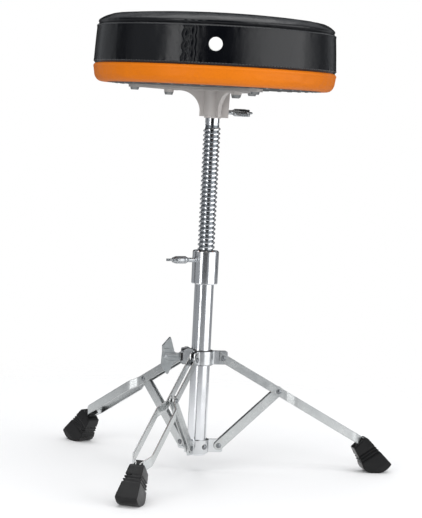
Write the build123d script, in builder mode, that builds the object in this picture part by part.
from build123d import *
import os
from math import cos, hypot, radians, sin, sqrt

os.makedirs("parts", exist_ok=True)

# A folding drum throne: a round padded seat bolted to a cast bracket, a coarse-threaded
# spindle that screws the seat up and down, and a tripod of paired flat strips that folds
# when its upper collar slides up the tube.
# Millimetres. The tube's axis is Z, the floor is Z = 0, and leg 1 points along +X.

# Driving dimensions: the column
tube_radius = 12.7
tube_bore_radius = 11.7
tube_bottom_z = 22.0
height_collar_radius = 17.35
height_collar_bottom_z = 249.8
height_collar_top_z = 294.3
height_nut_radius = 15.0
height_nut_bottom_z = 270.0
height_bolt_z = 281.5

# Driving dimensions: the threaded spindle
neck_radius = 9.3
thread_core_radius = 9.3
thread_crest_radius = 11.2
thread_pitch = 6.0
thread_bottom_z = 206.0
thread_top_z = 460.5
spindle_top_z = 500.0
journal_radius = 6.0
journal_length = 10.0

# Driving dimensions: the tripod
leg_azimuths = (0, 120, 240)
strip_thickness = 1.8
strip_half_height = 6.5
leg_slope = 28.9
leg_pivot_r = 30.0
leg_pivot_z = 151.5
knee_distance = 89.6
spread_start = 101.1
spread_end = 115.5
gather_start = 211.4
gather_end = 227.0
leg_length = 236.0
boot_slope = 56.0
leg_end_margin = 6.0
strut_pivot_r = 29.6
strut_pivot_z = 34.0
strut_half_width = 6.3
strut_lateral = 2.5
leg_lateral = 4.6
leg_spread_lateral = 12.4
leg_foot_lateral = 2.9
pivot_radius = 2.4
pivot_hole_radius = 2.5

# Driving dimensions: the two leg collars
collar_plate_thickness = 1.3
leg_collar_bottom_z = 143.0
leg_collar_height = 18.0
leg_collar_radius = 17.0
leg_collar_flange_gap = 2.1
leg_collar_flange_r = 36.0
lower_collar_bottom_z = 25.0
lower_collar_height = 17.5
lower_collar_radius = 16.1
lower_collar_flange_gap = 0.1
lower_collar_flange_r = 35.5
clamp_azimuth = 180
clamp_z = 152.0
beak_r = 25.6
beak_half_width = 7.5

# Driving dimensions: the wing bolts
wing_bolt_radius = 3.0
wing_bolt_hole_radius = 3.1
clamp_screw_radius = 3.5
clamp_screw_hole_radius = 3.6
height_bolt_azimuth = 197.5

# Driving dimensions: the seat
seat_heading = -12.5
seat_radius = 158.0
seat_bottom_z = 509.5
trim_top_z = 533.3
side_seam_z = 585.0
side_seam_radius = 155.1
crown_height = 19.0
skin_thickness = 1.5
board_bottom_z = 511.0
board_top_z = 523.0
trim_turn_under_radius = 128.0
dust_cover_radius = 140.0
bracket_top_z = 508.9
bracket_arm_z = 504.5
hub_bottom_z = 468.6
hub_radius = 12.4
hub_bore_radius = 9.4
hub_bore_top_z = 501.5
arm_headings = (60, 180, 300)
arm_screw_r = 104.0
boss_screw_r = 59.0
seat_screw_radius = 3.0
seat_bolt_z = 477.5
seat_bolt_boss_r = 21.5
boss_bottom_z = 500.0

# The knee, where a strut meets its leg
knee_r = leg_pivot_r + knee_distance * cos(radians(leg_slope))
knee_z = leg_pivot_z - knee_distance * sin(radians(leg_slope))


def radial(azimuth):
    """The horizontal unit vector that points outward at this azimuth."""
    return Vector(cos(radians(azimuth)), sin(radians(azimuth)), 0)


def lateral(azimuth):
    """The horizontal unit vector at right angles to the radial one."""
    return Vector(-sin(radians(azimuth)), cos(radians(azimuth)), 0)


def side_plane(azimuth, height=0, offset=0):
    """An upright plane through the axis: local X is the radius and local Y is up."""
    origin = lateral(azimuth) * offset + Vector(0, 0, height)
    return Plane(origin=origin, x_dir=radial(azimuth), z_dir=-lateral(azimuth))


def wing_plane(azimuth, height, start_r, turn):
    """The middle plane of a wing bolt's wings: local X is the bolt's axis from this radius."""
    normal = lateral(azimuth) * -cos(radians(turn)) + Vector(0, 0, sin(radians(turn)))
    return Plane(origin=radial(azimuth) * start_r + Vector(0, 0, height), x_dir=radial(azimuth), z_dir=normal)


def strip_plane(azimuth):
    """The plane that a leg's strips are bent in: local X runs down the leg from its pivot."""
    down_leg = radial(azimuth) * cos(radians(leg_slope)) - Vector(0, 0, sin(radians(leg_slope)))
    normal = radial(azimuth) * sin(radians(leg_slope)) + Vector(0, 0, cos(radians(leg_slope)))
    pivot = radial(azimuth) * leg_pivot_r + Vector(0, 0, leg_pivot_z)
    return Plane(origin=pivot, x_dir=down_leg, z_dir=normal)


def radial_rod(azimuth, height, radius, length):
    """A rod from the axis outward, for radial holes."""
    with BuildPart(mode=Mode.PRIVATE) as rod:
        with BuildSketch(Plane(origin=(0, 0, height), x_dir=lateral(azimuth), z_dir=radial(azimuth))):
            Circle(radius)
        extrude(amount=length)
    return rod.part


def save(piece, name):
    piece.part.label = name
    export_step(piece.part, f"parts/{name}.step")


# Column


def make_main_tube():
    with BuildPart() as tube:
        with BuildSketch(Plane.XY.offset(tube_bottom_z)):
            Circle(tube_radius)
            Circle(tube_bore_radius, mode=Mode.SUBTRACT)
        extrude(amount=height_nut_bottom_z - tube_bottom_z)
    save(tube, "main_tube")


def make_height_collar():
    """The chrome sleeve that holds the tube's top and the nut."""
    edge_bevel = 1.4
    bolt_hole = radial_rod(height_bolt_azimuth, height_bolt_z, wing_bolt_hole_radius, 2 * height_collar_radius)
    with BuildPart() as collar:
        with BuildSketch(Plane.XY.offset(height_collar_bottom_z)):
            Circle(height_collar_radius)
        extrude(amount=height_collar_top_z - height_collar_bottom_z)
        chamfer(collar.edges().filter_by(GeomType.CIRCLE), edge_bevel)
        with BuildSketch(Plane.XY.offset(height_collar_bottom_z)):
            Circle(tube_radius)
        extrude(amount=height_nut_bottom_z - height_collar_bottom_z, mode=Mode.SUBTRACT)
        with BuildSketch(Plane.XY.offset(height_nut_bottom_z)):
            Circle(height_nut_radius)
        extrude(amount=height_collar_top_z - height_nut_bottom_z, mode=Mode.SUBTRACT)
        add(bolt_hole, mode=Mode.SUBTRACT)
    save(collar, "height_collar")


def make_height_nut():
    """The threaded nut in the collar: its bore is the thread's crest size plus running room."""
    running_room = 0.1
    lead_in = 0.8
    bolt_hole = radial_rod(height_bolt_azimuth, height_bolt_z, wing_bolt_hole_radius, 2 * height_nut_radius)
    with BuildPart() as nut:
        with BuildSketch(Plane.XY.offset(height_nut_bottom_z)):
            Circle(height_nut_radius)
            Circle(thread_crest_radius + running_room, mode=Mode.SUBTRACT)
        extrude(amount=height_collar_top_z - height_nut_bottom_z - 0.6)
        chamfer(nut.edges().group_by(Axis.Z)[-1].sort_by(SortBy.RADIUS)[0], lead_in)
        add(bolt_hole, mode=Mode.SUBTRACT)
    save(nut, "height_nut")


def make_collar_plate(name, azimuth, bottom_z, height, radius, gap, flange_r, pivot, beak=False, fixing=False):
    """One stamped plate: a third of a collar's band with a flange along each of two legs."""
    bend_radius = 1.2
    corner_radius = 2.5
    inner_radius = radius - collar_plate_thickness
    base = Plane(origin=(0, 0, bottom_z), x_dir=radial(azimuth), z_dir=(0, 0, 1))
    reach = 2 * flange_r
    middle = azimuth + 60
    fixing_hole = radial_rod(middle, bottom_z + height / 2, pivot_hole_radius, 2 * radius)
    if beak:
        beak_outside = beak_block(bottom_z, height)
        beak_inside = beak_hollow(bottom_z, height, inner_radius)
        screw_hole = radial_rod(clamp_azimuth, clamp_z, clamp_screw_hole_radius, 2 * beak_r)
    with BuildPart() as plate:
        with BuildSketch(base) as outline:
            Circle(radius)
            Circle(inner_radius, mode=Mode.SUBTRACT)
            with BuildLine():
                Polyline((0, 0), (reach, 0), (reach * cos(radians(60)), reach * sin(radians(60))),
                         (reach * cos(radians(120)), reach * sin(radians(120))), close=True)
            make_face(mode=Mode.INTERSECT)
            for turn, side in ((0, 1), (120, -1)):
                with Locations(Location((0, 0, 0), (0, 0, turn))):
                    Rectangle(reach, 2 * gap, align=(Align.MIN, Align.CENTER), mode=Mode.SUBTRACT)
                    with Locations((inner_radius, side * (gap + collar_plate_thickness / 2))):
                        Rectangle(flange_r - inner_radius, collar_plate_thickness,
                                  align=(Align.MIN, Align.CENTER))
            bends = [corner for corner in outline.vertices()
                     if abs(hypot(corner.X, corner.Y) - radius) < 0.05]
            fillet(bends, bend_radius)
        extrude(amount=height)
        if beak:
            add(beak_outside)
            add(beak_inside, mode=Mode.SUBTRACT)
            add(screw_hole, mode=Mode.SUBTRACT)
        if fixing:
            add(fixing_hole, mode=Mode.SUBTRACT)
        for leg in (azimuth, azimuth + 120):
            tips = plate.edges().filter_by(Axis((0, 0, 0), lateral(leg))).filter_by(
                lambda edge, leg=leg: edge.center().dot(radial(leg)) > flange_r - 0.1)
            fillet(tips, corner_radius)
            with BuildSketch(side_plane(leg)):
                with Locations(pivot):
                    Circle(pivot_hole_radius)
            extrude(amount=gap + 2 * collar_plate_thickness, both=True, mode=Mode.SUBTRACT)
    save(plate, name)


def beak_outline(bottom_z, root_r, inset):
    """The beak in plan, drawn in by the sheet's thickness for its inside."""
    root_half_width = beak_half_width + 4.5
    beak_plane = Plane(origin=(0, 0, bottom_z), x_dir=radial(clamp_azimuth), z_dir=(0, 0, 1))
    with BuildSketch(beak_plane) as outline:
        with BuildLine():
            Polyline((root_r, -root_half_width + inset), (beak_r - inset, -beak_half_width + inset),
                     (beak_r - inset, beak_half_width - inset), (root_r, root_half_width - inset), close=True)
        make_face()
    return outline.sketch


def beak_block(bottom_z, height):
    """The solid block that the beak is hollowed from, with an arched top edge."""
    root_r = 11.0
    arch_rise = 3.6
    nose_drop = 1.6
    top_z = bottom_z + height
    outline = beak_outline(bottom_z, root_r, 0)
    with BuildPart(mode=Mode.PRIVATE) as block:
        add(outline)
        extrude(amount=height + 2 * arch_rise)
        with BuildSketch(side_plane(clamp_azimuth)):
            with BuildLine():
                Polyline((root_r, top_z), (root_r, top_z + 10), (beak_r + 1, top_z + 10),
                         (beak_r + 1, top_z - nose_drop), (beak_r, top_z - nose_drop))
                ThreePointArc((beak_r, top_z - nose_drop), ((beak_r + root_r) / 2 + 1, top_z + arch_rise),
                              (root_r, top_z))
            make_face()
        extrude(amount=2 * beak_half_width, both=True, mode=Mode.SUBTRACT)
    return block.part


def beak_hollow(bottom_z, height, inner_radius):
    """The space inside the beak and the band."""
    spare = 6.0
    outline = beak_outline(bottom_z - spare, 0, collar_plate_thickness)
    with BuildPart(mode=Mode.PRIVATE) as hollow:
        add(outline)
        extrude(amount=height + 3 * spare)
        with BuildSketch(Plane.XY.offset(bottom_z - spare)):
            Circle(inner_radius)
        extrude(amount=height + 3 * spare)
    return hollow.part


def make_lower_sleeve():
    """The steel sleeve between the tube's foot and the lower collar's plates."""
    middle_z = lower_collar_bottom_z + lower_collar_height / 2
    holes = [radial_rod(azimuth + 60, middle_z, pivot_hole_radius, 2 * tube_radius) for azimuth in leg_azimuths]
    with BuildPart() as sleeve:
        with BuildSketch(Plane.XY.offset(lower_collar_bottom_z)):
            Circle(lower_collar_radius - collar_plate_thickness)
            Circle(tube_radius, mode=Mode.SUBTRACT)
        extrude(amount=lower_collar_height)
        add(holes, mode=Mode.SUBTRACT)
    save(sleeve, "lower_sleeve")


def make_fixing_rivets():
    """Three rivets that hold the lower plates to the sleeve, one in the middle of each plate."""
    head_radius = 3.6
    head_height = 1.9
    middle_z = lower_collar_bottom_z + lower_collar_height / 2
    inner_r = tube_radius + 0.1
    head_base = lower_collar_radius + 0.05
    with BuildPart() as rivets:
        for azimuth in leg_azimuths:
            with BuildSketch(side_plane(azimuth + 60, middle_z)):
                with BuildLine():
                    Line((inner_r, 0), (head_base + head_height, 0))
                    ThreePointArc((head_base + head_height, 0),
                                  (head_base + 0.75 * head_height, head_radius * 0.66),
                                  (head_base, head_radius))
                    Polyline((head_base, head_radius), (head_base, pivot_radius), (inner_r, pivot_radius),
                             (inner_r, 0))
                make_face()
            revolve(axis=Axis((0, 0, middle_z), radial(azimuth + 60)))
    save(rivets, "lower_collar_rivets")


def make_pivot_rivets(name, pivot_r, pivot_z, outer_lateral):
    """Through rivets at one pivot of every leg: a shank with a domed head at each end."""
    head_radius = 3.5
    head_height = 1.6
    head_gap = 0.25
    with BuildPart() as rivets:
        for azimuth in leg_azimuths:
            centre = radial(azimuth) * pivot_r + Vector(0, 0, pivot_z)
            section = Plane(origin=centre, x_dir=lateral(azimuth), z_dir=radial(azimuth))
            head_base = outer_lateral + head_gap
            with BuildSketch(section):
                with BuildLine():
                    Line((0, 0), (head_base + head_height, 0))
                    ThreePointArc((head_base + head_height, 0),
                                  (head_base + 0.75 * head_height, head_radius * 0.66),
                                  (head_base, head_radius))
                    Polyline((head_base, head_radius), (head_base, pivot_radius), (0, pivot_radius), (0, 0))
                make_face()
                mirror(about=Plane.YZ)
            revolve(axis=Axis(centre, lateral(azimuth)))
    save(rivets, name)


# Leg collar


def make_leg_collar_bush():
    """The black nylon bush that slides on the tube inside the leg collar."""
    sliding_room = 0.15
    stand_proud = 0.8
    screw_hole = radial_rod(clamp_azimuth, clamp_z, clamp_screw_hole_radius, beak_r)
    with BuildPart() as bush:
        with BuildSketch(Plane.XY.offset(leg_collar_bottom_z - stand_proud)):
            Circle(leg_collar_radius - collar_plate_thickness)
            Circle(tube_radius + sliding_room, mode=Mode.SUBTRACT)
        extrude(amount=leg_collar_height + 2 * stand_proud)
        add(screw_hole, mode=Mode.SUBTRACT)
    save(bush, "leg_collar_bush")


def make_clamp_nut():
    """The square nut held in the beak."""
    nut_width = 11.0
    nut_thickness = 5.5
    nose_gap = 0.2
    outer_r = beak_r - collar_plate_thickness - nose_gap
    face = Plane(origin=radial(clamp_azimuth) * outer_r + Vector(0, 0, clamp_z),
                 x_dir=lateral(clamp_azimuth), z_dir=radial(clamp_azimuth))
    with BuildPart() as nut:
        with BuildSketch(face):
            Rectangle(nut_width, nut_width)
            Circle(clamp_screw_hole_radius, mode=Mode.SUBTRACT)
        extrude(amount=-nut_thickness)
    save(nut, "clamp_nut")


def make_clamp_washer():
    washer_radius = 5.2
    face = Plane(origin=radial(clamp_azimuth) * beak_r + Vector(0, 0, clamp_z),
                 x_dir=lateral(clamp_azimuth), z_dir=radial(clamp_azimuth))
    with BuildPart() as washer:
        with BuildSketch(face):
            Circle(washer_radius)
            Circle(clamp_screw_hole_radius, mode=Mode.SUBTRACT)
        extrude(amount=1.8)
    save(washer, "clamp_washer")


def make_clamp_wing_screw():
    """The big cast wing screw that locks the leg collar to the tube."""
    wing_thickness = 5.0
    groove_depth = 0.7
    tube_gap = 0.15
    washer_gap = 2.1
    barrel_radius = 5.4
    wing_turn = 8
    axis = Axis((0, 0, clamp_z), radial(clamp_azimuth))
    section = side_plane(clamp_azimuth, clamp_z)
    middle = wing_plane(clamp_azimuth, clamp_z, beak_r, wing_turn)
    with BuildPart() as screw:
        with BuildSketch(section):
            with BuildLine():
                Polyline((tube_radius + tube_gap, 0), (tube_radius + tube_gap, clamp_screw_radius),
                         (beak_r + washer_gap, clamp_screw_radius), (beak_r + washer_gap, 4.4),
                         (beak_r + washer_gap + 1.4, 4.4), (beak_r + washer_gap + 3.2, barrel_radius),
                         (beak_r + 20, barrel_radius), (beak_r + 24, 3.2), (beak_r + 24.6, 0), close=True)
            make_face()
        revolve(axis=axis)
        with BuildSketch(middle) as wings:
            with BuildLine():
                Polyline((6.5, 4.4), (10.5, 6.7), (16.6, 26.2), (18.4, 26.2), (27.4, 14.5), (26.6, 6),
                         (27.2, -12.6), (19.2, -23.6), (17.4, -23.6), (11.3, -8.4), (6.5, -4.2), close=True)
            make_face()
            fillet(wings.vertices(), 1.1)
        extrude(amount=wing_thickness / 2, both=True)
        for side in (1, -1):
            with BuildSketch(middle.offset(side * (wing_thickness / 2 - groove_depth))):
                with Locations((17, 5.9)):
                    Rectangle(22, 1.0)
                with Locations((22.5, 11.8)):
                    Rectangle(11, 1.0)
            extrude(amount=side * 2 * groove_depth, mode=Mode.SUBTRACT)
    save(screw, "clamp_wing_screw")


# Small wing bolts


def make_wing_bolt(name, azimuth, height, tip_r, head_r, wing_turn):
    """A cast wing bolt on a radial axis, from its tip to the end of its head."""
    barrel_radius = 5.0
    wing_thickness = 3.4
    dish_depth = 0.8
    axis = Axis((0, 0, height), radial(azimuth))
    section = side_plane(azimuth, height)
    middle = wing_plane(azimuth, height, head_r, wing_turn)
    with BuildPart() as bolt:
        with BuildSketch(section):
            with BuildLine():
                Polyline((tip_r, 0), (tip_r, 2.2), (tip_r + 0.8, wing_bolt_radius),
                         (head_r - 2, wing_bolt_radius), (head_r, 3.6), (head_r + 2, barrel_radius),
                         (head_r + 16, barrel_radius), (head_r + 21, 3.4), (head_r + 21.4, 1.9),
                         (head_r + 25.4, 1.3), (head_r + 26, 0), close=True)
            make_face()
        revolve(axis=axis)
        with BuildSketch(middle) as wings:
            with BuildLine():
                Polyline((3, 3), (8, 12), (13.5, 17), (20, 18.2), (22.5, 15), (18.5, 9), (17, 3), close=True)
            make_face()
            fillet(wings.vertices(), 1.3)
            mirror(about=Plane.XZ)
        extrude(amount=wing_thickness / 2, both=True)
        for side in (1, -1):
            with BuildSketch(middle.offset(side * (wing_thickness / 2 - dish_depth))):
                with Locations((15.5, 12.2), (15.5, -12.2)):
                    Circle(2.6)
            extrude(amount=side * 2 * dish_depth, mode=Mode.SUBTRACT)
    save(bolt, name)


# Legs, struts and feet


def strip_section(azimuth, side):
    """A leg strip seen along its height: straight, spread at the knee, gathered at the foot."""
    bend = 11.0
    inner = side * (leg_lateral - strip_thickness / 2)
    spread = side * (leg_spread_lateral - strip_thickness / 2)
    foot = side * (leg_foot_lateral - strip_thickness / 2)
    with BuildSketch(strip_plane(azimuth)) as section:
        with BuildLine():
            FilletPolyline((-leg_end_margin, inner), (spread_start, inner), (spread_end, spread),
                           (gather_start, spread), (gather_end, foot), (leg_length, foot), radius=bend)
            offset(amount=strip_thickness, side=Side.LEFT if side > 0 else Side.RIGHT)
        make_face()
    return section.sketch


def make_leg_strip(number, azimuth, letter, side):
    """One of a leg's two flat strips, bent out around the knee's lower side and in to the foot."""
    edge_break = 0.35
    bent = strip_plane(azimuth)
    section = strip_section(azimuth, side)
    with BuildPart() as strip:
        add(section)
        extrude(amount=strip_half_height, both=True)
        chamfer(strip.faces().filter_by(Axis((0, 0, 0), bent.z_dir)).edges(), edge_break)
        with BuildSketch(side_plane(azimuth)):
            with Locations((leg_pivot_r, leg_pivot_z), (knee_r, knee_z)):
                Circle(pivot_hole_radius)
        extrude(amount=2 * leg_spread_lateral, both=True, mode=Mode.SUBTRACT)
    save(strip, f"leg_{number}_strip_{letter}")


def make_knee_rivets(number, azimuth):
    """The knee rivet's two ends: each domed head with the shank through its own strip."""
    head_radius = 3.5
    head_height = 1.6
    shank_start = leg_lateral - strip_thickness / 2 + 0.05
    head_base = leg_lateral + strip_thickness / 2
    centre = radial(azimuth) * knee_r + Vector(0, 0, knee_z)
    section = Plane(origin=centre, x_dir=lateral(azimuth), z_dir=radial(azimuth))
    with BuildPart() as rivets:
        with BuildSketch(section):
            with BuildLine():
                Line((shank_start, 0), (head_base + head_height, 0))
                ThreePointArc((head_base + head_height, 0),
                              (head_base + 0.75 * head_height, head_radius * 0.66),
                              (head_base, head_radius))
                Polyline((head_base, head_radius), (head_base, pivot_radius), (shank_start, pivot_radius),
                         (shank_start, 0))
            make_face()
            mirror(about=Plane.YZ)
        revolve(axis=Axis(centre, lateral(azimuth)))
    save(rivets, f"leg_{number}_knee_rivets")


def make_strut_strip(number, azimuth, letter, side):
    """One of the two flat strips that tie a leg's knee to the lower collar."""
    edge_break = 0.35
    flat = side_plane(azimuth, 0, side * strut_lateral)
    with BuildPart() as strip:
        with BuildSketch(flat):
            with Locations((strut_pivot_r, strut_pivot_z), (knee_r, knee_z)):
                Circle(strut_half_width)
            make_hull()
        extrude(amount=strip_thickness / 2, both=True)
        chamfer(strip.faces().filter_by(Axis((0, 0, 0), flat.z_dir)).edges(), edge_break)
        with BuildSketch(flat):
            with Locations((strut_pivot_r, strut_pivot_z), (knee_r, knee_z)):
                Circle(pivot_hole_radius)
        extrude(amount=strip_thickness, both=True, mode=Mode.SUBTRACT)
    save(strip, f"strut_{number}_strip_{letter}")


def boot_outline(inset):
    """A foot's side outline in radius and height, drawn in by this much. Its sole has a flat."""
    with BuildSketch() as outline:
        with BuildLine():
            Line((217.1, 32.7), (229.0, 10.8))
            ThreePointArc((229.0, 10.8), (233.6, 3.4), (241.5, 0))
            Line((241.5, 0), (252.5, 0))
            ThreePointArc((252.5, 0), (263.0, 4.2), (269.9, 12.6))
            Line((269.9, 12.6), (238.2, 44.5))
            ThreePointArc((238.2, 44.5), (234.6, 46.9), (230.6, 46.2))
            Line((230.6, 46.2), (217.1, 32.7))
        make_face()
        if inset:
            offset(amount=-inset, mode=Mode.REPLACE)
    return outline.sketch


def boot_body(azimuth, inset):
    """The foot's wedge: its side outline, cut to a width that grows from top to sole."""
    top_half_width = 7.75 - inset
    sole_half_width = 14.0 - inset
    length = 62
    along = radial(azimuth) * cos(radians(boot_slope)) - Vector(0, 0, sin(radians(boot_slope)))
    across = radial(azimuth) * sin(radians(boot_slope)) + Vector(0, 0, cos(radians(boot_slope)))
    top = radial(azimuth) * 222 + Vector(0, 0, 44)
    outline = boot_outline(inset)
    with BuildPart() as body:
        with BuildSketch(side_plane(azimuth)):
            add(outline)
        extrude(amount=sole_half_width, both=True)
        with BuildSketch(Plane(origin=top, x_dir=along, z_dir=across)):
            with BuildLine():
                Polyline((-8, -top_half_width), (length, -sole_half_width - 1.5),
                         (length, sole_half_width + 1.5), (-8, top_half_width), close=True)
            make_face()
        extrude(amount=60, both=True, mode=Mode.INTERSECT)
    return body.part


def make_foot(number, azimuth):
    """The rubber foot: a wedge with two grooves round it and a socket for the leg's strips."""
    groove_depth = 2.0
    groove_width = 1.9
    groove_places = (-6.8, -2.6, 1.6)
    plug_half_height = 5.0
    socket_start = 217.5
    socket_length = 20
    bent = strip_plane(azimuth)
    sections = [strip_section(azimuth, side) for side in (1, -1)]
    outer_body = boot_body(azimuth, 0)
    inner_body = boot_body(azimuth, groove_depth)
    down_boot = radial(azimuth) * cos(radians(boot_slope)) - Vector(0, 0, sin(radians(boot_slope)))
    groove_plane = Plane(origin=radial(azimuth) * 239.5 + Vector(0, 0, 23.5), x_dir=down_boot,
                         z_dir=-lateral(azimuth))
    grooves = []
    for place in groove_places:
        with BuildPart() as groove:
            with BuildSketch(groove_plane):
                with Locations((place, 0)):
                    Rectangle(groove_width, 60)
            extrude(amount=30, both=True)
            add(inner_body, mode=Mode.SUBTRACT)
        grooves.append(groove.part)
    with BuildPart() as foot:
        add(outer_body)
        for groove_part in grooves:
            add(groove_part, mode=Mode.SUBTRACT)
        with BuildSketch(bent):
            with Locations((socket_start, 0)):
                Rectangle(socket_length, 2 * leg_foot_lateral + strip_thickness + 4.2,
                          align=(Align.MIN, Align.CENTER))
        extrude(amount=plug_half_height, both=True)
        for section in sections:
            add(section)
            extrude(amount=strip_half_height, both=True, mode=Mode.SUBTRACT)
    save(foot, f"foot_{number}")


# Spindle and its guide


def make_spindle():
    """The chrome spindle: a plain neck, a coarse right-hand thread and a journal at its foot."""
    ridge_root_half_width = 2.5
    ridge_crest_half_width = 0.8
    root_sink = 0.4
    run_in = 3.0
    groove_depth = 0.7
    ridge_height = thread_crest_radius - thread_core_radius + root_sink
    start_z = thread_bottom_z + run_in
    with BuildPart() as spindle:
        with BuildSketch(Plane.XY.offset(thread_bottom_z)):
            Circle(thread_core_radius)
        extrude(amount=spindle_top_z - thread_bottom_z)
        chamfer(spindle.edges().sort_by(Axis.Z)[-1], 1.2)
        with BuildSketch(Plane.XY.offset(thread_bottom_z - journal_length)):
            Circle(journal_radius)
        extrude(amount=journal_length)
        with BuildSketch(Plane.XY.offset(thread_top_z + 0.5)):
            Circle(neck_radius + 1)
            Circle(neck_radius - groove_depth, mode=Mode.SUBTRACT)
        extrude(amount=1.0, mode=Mode.SUBTRACT)
        helix = Helix(pitch=thread_pitch, height=thread_top_z - run_in - start_z,
                      radius=thread_core_radius - root_sink, center=(0, 0, start_z), mode=Mode.PRIVATE)
        with BuildSketch(Plane(origin=helix @ 0, x_dir=(1, 0, 0), z_dir=helix % 0)):
            with BuildLine():
                Polyline((0, -ridge_root_half_width), (ridge_height, -ridge_crest_half_width),
                         (ridge_height, ridge_crest_half_width), (0, ridge_root_half_width), close=True)
            make_face()
        sweep(path=helix, is_frenet=True)
    save(spindle, "spindle")


def make_spindle_guide():
    """The nylon ring on the spindle's journal that keeps its foot central in the tube."""
    journal_room = 0.2
    tube_room = 0.2
    end_room = 0.6
    length = 7.0
    with BuildPart() as guide:
        with BuildSketch(Plane.XY.offset(thread_bottom_z - end_room - length)):
            Circle(tube_bore_radius - tube_room)
            Circle(journal_radius + journal_room, mode=Mode.SUBTRACT)
        extrude(amount=length)
    save(guide, "spindle_guide")


def make_spindle_clip():
    """The spring clip under the guide."""
    clip_radius = 9.0
    clip_thickness = 1.2
    groove_radius = 5.2
    with BuildPart() as clip:
        with BuildSketch(Plane.XY.offset(thread_bottom_z - journal_length - clip_thickness)):
            Circle(clip_radius)
            Circle(groove_radius, mode=Mode.SUBTRACT)
            Rectangle(clip_radius + 1, 4.0, align=(Align.MIN, Align.CENTER), mode=Mode.SUBTRACT)
        extrude(amount=clip_thickness)
    save(clip, "spindle_clip")


# Seat


def seat_body(inset, low_z, high_z):
    """The cushion's turned outline, drawn in by this much, between two heights."""
    corner_top_z = 520.0
    bulge = (157.0 - inset, 558.0)
    crown_z = side_seam_z + crown_height - inset
    crown_rise = 7.0
    shoulder_end = (137.0, crown_z - crown_rise)
    crown_radius = (shoulder_end[0] ** 2 + crown_rise ** 2) / (2 * crown_rise)
    middle_r = 80.0
    crown_middle = (middle_r, crown_z - crown_radius + sqrt(crown_radius ** 2 - middle_r ** 2))
    with BuildPart() as body:
        with BuildSketch(Plane.XZ):
            with BuildLine():
                Line((0, seat_bottom_z + inset), (147.0, seat_bottom_z + inset))
                ThreePointArc((147.0, seat_bottom_z + inset), (154.4 - 0.7 * inset, 512.8 + 0.7 * inset),
                              (157.2 - inset, corner_top_z))
                Line((157.2 - inset, corner_top_z), (seat_radius - inset, trim_top_z))
                ThreePointArc((seat_radius - inset, trim_top_z), bulge,
                              (side_seam_radius - inset, side_seam_z))
                ThreePointArc((side_seam_radius - inset, side_seam_z),
                              (151.2 - 0.75 * inset, side_seam_z + 6.6 - 0.7 * inset), shoulder_end)
                ThreePointArc(shoulder_end, crown_middle, (0, crown_z))
                Line((0, crown_z), (0, seat_bottom_z + inset))
            make_face()
            with Locations((0, low_z)):
                Rectangle(2 * seat_radius, high_z - low_z, align=(Align.MIN, Align.MIN), mode=Mode.INTERSECT)
        revolve(axis=Axis.Z)
    return body.part


def arm_points():
    """The places of the six seat screws: one near each arm's end and one near its root."""
    return [radial(seat_heading + heading) * reach
            for heading in arm_headings for reach in (arm_screw_r, boss_screw_r)]


def make_seat_bracket():
    """The cast three-armed bracket with its hub, gussets, screw bosses and wing-bolt boss."""
    arm_root_radius = 23.0
    arm_end_radius = 12.0
    arm_end_r = 100.0
    gusset_half_width = 2.8
    boss_radius = 6.3
    boss_half_width = 6.8
    hub_lip_radius = 11.2
    hub_lip_height = 3.2
    screw_hole_radius = 3.2
    bolt_hole = radial_rod(seat_heading, seat_bolt_z, wing_bolt_hole_radius, 2 * seat_bolt_boss_r)
    with BuildPart() as bracket:
        for heading in arm_headings:
            with BuildSketch(Plane.XY.offset(bracket_arm_z)):
                Circle(arm_root_radius)
                with Locations(radial(seat_heading + heading) * arm_end_r):
                    Circle(arm_end_radius)
                make_hull()
            extrude(amount=bracket_top_z - bracket_arm_z)
        with BuildSketch(Plane.XY.offset(hub_bottom_z + hub_lip_height)):
            Circle(hub_radius)
        extrude(amount=bracket_top_z - hub_bottom_z - hub_lip_height)
        with BuildSketch(Plane.XY.offset(hub_bottom_z)):
            Circle(hub_lip_radius)
        extrude(amount=hub_lip_height)
        for heading in arm_headings:
            with BuildSketch(side_plane(seat_heading + heading)):
                with BuildLine():
                    Polyline((5, hub_bottom_z + 2), (17.6, hub_bottom_z + 2), (17.6, 479))
                    ThreePointArc((17.6, 479), (25.2, 495.0), (48.7, 502.6))
                    Polyline((48.7, 502.6), (93, bracket_arm_z), (93, bracket_top_z - 1),
                             (5, bracket_top_z - 1), (5, hub_bottom_z + 2))
                make_face()
            extrude(amount=gusset_half_width, both=True)
            with BuildSketch(Plane.XY.offset(boss_bottom_z)):
                with Locations(radial(seat_heading + heading) * boss_screw_r):
                    Circle(boss_radius)
            extrude(amount=bracket_top_z - boss_bottom_z - 1)
        with BuildSketch(side_plane(seat_heading)):
            with BuildLine():
                Polyline((5, hub_bottom_z + 1), (seat_bolt_boss_r - 1, hub_bottom_z + 1),
                         (seat_bolt_boss_r, bracket_arm_z + 1), (5, bracket_arm_z + 1), close=True)
            make_face()
        extrude(amount=boss_half_width, both=True)
        with BuildSketch(Plane.XY.offset(hub_bottom_z)):
            Circle(hub_bore_radius)
        extrude(amount=hub_bore_top_z - hub_bottom_z, mode=Mode.SUBTRACT)
        with BuildSketch(Plane.XY.offset(boss_bottom_z)):
            with Locations(*arm_points()):
                Circle(screw_hole_radius)
        extrude(amount=bracket_top_z - boss_bottom_z, mode=Mode.SUBTRACT)
        add(bolt_hole, mode=Mode.SUBTRACT)
    save(bracket, "seat_bracket")


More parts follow.
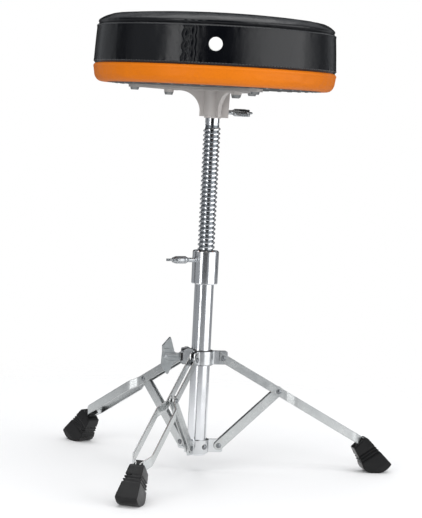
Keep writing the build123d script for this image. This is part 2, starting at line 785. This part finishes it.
def make_seat_screws():
    """Six pan-head screws up through the arms into the T-nuts."""
    head_radius = 6.0
    head_height = 3.4
    screw_end_z = 522.5
    with BuildPart() as screws:
        for place, seat_z in zip(arm_points(), (bracket_arm_z, boss_bottom_z) * 3):
            with BuildSketch(Plane.XY.offset(seat_z - 0.05)):
                with Locations(place):
                    Circle(head_radius)
            extrude(amount=-head_height, taper=18)
            with BuildSketch(Plane.XY.offset(seat_z - 0.06)):
                with Locations(place):
                    Circle(seat_screw_radius)
            extrude(amount=screw_end_z - seat_z)
    save(screws, "seat_screws")


def make_t_nuts():
    """Six T-nuts pressed into the board from above."""
    barrel_radius = 4.2
    flange_radius = 9.0
    flange_thickness = 1.4
    with BuildPart() as nuts:
        for place in arm_points():
            with BuildSketch(Plane.XY.offset(board_bottom_z + 1)):
                with Locations(place):
                    Circle(barrel_radius)
            extrude(amount=board_top_z - board_bottom_z - 1)
            with BuildSketch(Plane.XY.offset(board_top_z)):
                with Locations(place):
                    Circle(flange_radius)
            extrude(amount=flange_thickness)
            with BuildSketch(Plane.XY.offset(board_bottom_z)):
                with Locations(place):
                    Circle(seat_screw_radius + 0.05)
            extrude(amount=board_top_z - board_bottom_z + flange_thickness, mode=Mode.SUBTRACT)
    save(nuts, "t_nuts")


def make_seat_board():
    """The plywood board that carries the cushion."""
    t_nut_hole_radius = 4.25
    outline = seat_body(skin_thickness + 0.1, board_bottom_z + 0.1, board_top_z)
    with BuildPart() as board:
        add(outline)
        with BuildSketch(Plane.XY.offset(board_bottom_z)):
            with Locations(*arm_points()):
                Circle(t_nut_hole_radius)
        extrude(amount=board_top_z - board_bottom_z, mode=Mode.SUBTRACT)
    save(board, "seat_board")


def make_seat_foam():
    """The foam pad, with a pocket over each T-nut's flange."""
    pocket_radius = 9.3
    pocket_depth = 1.6
    outline = seat_body(skin_thickness + 0.1, board_top_z + 0.05, side_seam_z + crown_height)
    with BuildPart() as foam:
        add(outline)
        with BuildSketch(Plane.XY.offset(board_top_z)):
            with Locations(*arm_points()):
                Circle(pocket_radius)
        extrude(amount=pocket_depth, mode=Mode.SUBTRACT)
    save(foam, "seat_foam")


def make_skin(name, low_z, high_z, opening_radius=0):
    """One panel of the cover: the cushion's outer skin between two heights."""
    outer = seat_body(0, low_z, high_z)
    inner = seat_body(skin_thickness, seat_bottom_z, side_seam_z + crown_height)
    with BuildPart() as skin:
        add(outer)
        add(inner, mode=Mode.SUBTRACT)
        if opening_radius:
            with BuildSketch(Plane.XY.offset(low_z - 1)):
                Circle(opening_radius)
            extrude(amount=skin_thickness + 2, mode=Mode.SUBTRACT)
    save(skin, name)


def make_dust_cover():
    """The black cloth cover under the board, drawn up tight inside the trim's turned-under edge."""
    edge_thickness = 0.5
    with BuildPart() as cover:
        with BuildSketch(Plane.XY.offset(bracket_top_z)):
            Circle(dust_cover_radius)
        extrude(amount=edge_thickness)
        with BuildSketch(Plane.XY.offset(bracket_top_z)):
            Circle(trim_turn_under_radius - 0.5)
        extrude(amount=board_bottom_z - bracket_top_z)
        with BuildSketch(Plane.XY.offset(bracket_top_z)):
            with Locations(*arm_points()):
                Circle(seat_screw_radius + 0.2)
        extrude(amount=board_bottom_z - bracket_top_z, mode=Mode.SUBTRACT)
    save(cover, "dust_cover")


make_main_tube()
make_height_collar()
make_height_nut()
make_lower_sleeve()
make_fixing_rivets()
make_pivot_rivets("strut_pivot_rivets", strut_pivot_r, strut_pivot_z, strut_lateral + strip_thickness / 2)
make_pivot_rivets("leg_pivot_rivets", leg_pivot_r, leg_pivot_z, leg_lateral + strip_thickness / 2)
for plate_number, plate_azimuth in enumerate(leg_azimuths, start=1):
    make_collar_plate(f"lower_collar_plate_{plate_number}", plate_azimuth, lower_collar_bottom_z,
                      lower_collar_height, lower_collar_radius, lower_collar_flange_gap,
                      lower_collar_flange_r, (strut_pivot_r, strut_pivot_z), fixing=True)
    make_collar_plate(f"leg_collar_plate_{plate_number}", plate_azimuth, leg_collar_bottom_z,
                      leg_collar_height, leg_collar_radius, leg_collar_flange_gap,
                      leg_collar_flange_r, (leg_pivot_r, leg_pivot_z),
                      beak=plate_azimuth + 60 == clamp_azimuth)
make_leg_collar_bush()
make_clamp_nut()
make_clamp_washer()
make_clamp_wing_screw()
make_wing_bolt("height_wing_bolt", height_bolt_azimuth, height_bolt_z, thread_crest_radius + 0.3, 28.5, 85)
make_wing_bolt("seat_wing_bolt", seat_heading, seat_bolt_z, neck_radius + 0.2, 26.5, 80)
for leg_number, leg_azimuth in enumerate(leg_azimuths, start=1):
    for strip_letter, strip_side in (("a", 1), ("b", -1)):
        make_leg_strip(leg_number, leg_azimuth, strip_letter, strip_side)
        make_strut_strip(leg_number, leg_azimuth, strip_letter, strip_side)
    make_knee_rivets(leg_number, leg_azimuth)
    make_foot(leg_number, leg_azimuth)
make_spindle()
make_spindle_guide()
make_spindle_clip()
make_seat_bracket()
make_seat_screws()
make_t_nuts()
make_seat_board()
make_seat_foam()
make_skin("seat_trim_band", seat_bottom_z, trim_top_z, trim_turn_under_radius)
make_skin("seat_side_band", trim_top_z, side_seam_z)
make_skin("seat_top_panel", side_seam_z, side_seam_z + crown_height)
make_dust_cover()
